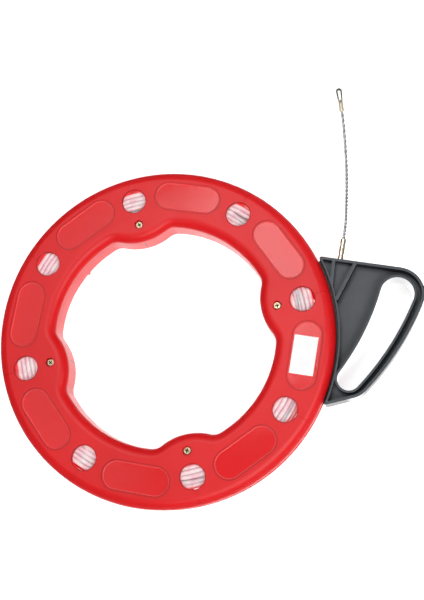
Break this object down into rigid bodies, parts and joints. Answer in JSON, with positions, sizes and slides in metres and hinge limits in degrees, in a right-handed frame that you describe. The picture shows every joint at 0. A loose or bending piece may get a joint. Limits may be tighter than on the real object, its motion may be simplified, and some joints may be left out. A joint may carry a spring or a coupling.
{
  "type": "fish tape reel",
  "caption": "Ring-shaped case of coiled fish tape with a grip that runs round its rim, a tape guide, and a twisted wire leader that ends in a pulling eye.",
  "frame": {"origin": "on the reel's axis, in the plane of the rear shell's flat face, which the reel rests on", "axes": "+Z out of the front of the case along the reel's axis, +X towards the grip, +Y the way the tape leaves"},
  "size_m": [0.3777, 0.3846, 0.035],
  "materials": {
    "case_red": "semi-gloss moulded ABS",
    "zinc_steel": "bright zinc plate",
    "label_white": "satin film",
    "tape_nylon": "smooth drawn nylon",
    "crimp_brass": "drawn brass",
    "grip_grey": "fine-grained moulding",
    "bush_brown": "moulded acetal",
    "leader_wire": "stranded wire rope"
  },
  "bodies": {
    "case": {"front_shell": "case_red", "rear_shell": "case_red", "case_screws": "zinc_steel", "case_nuts": "zinc_steel", "blank_label": "label_white", "tape_coil": "tape_nylon", "tape_inner_end": "tape_nylon", "tape_end_stop": "crimp_brass"},
    "handle": {"grip": "grip_grey", "guide_bush": "bush_brown", "tape_lead_out": "tape_nylon"},
    "leader": {"tape_outlet_run": "tape_nylon", "leader_ferrule": "crimp_brass", "leader_cable": "leader_wire", "pulling_eye": "crimp_brass"}
  },
  "joints": [
    {"name": "handle_orbit", "type": "hinge", "parent": "case", "child": "handle", "pos_m": [0, 0, 0.0175], "axis": [0, 0, 1], "continuous": true},
    {"name": "tape_payout", "type": "slide", "parent": "handle", "child": "leader", "axis": [0.1736, 0.9848, 0], "range_m": [0, 0.06]}
  ]
}
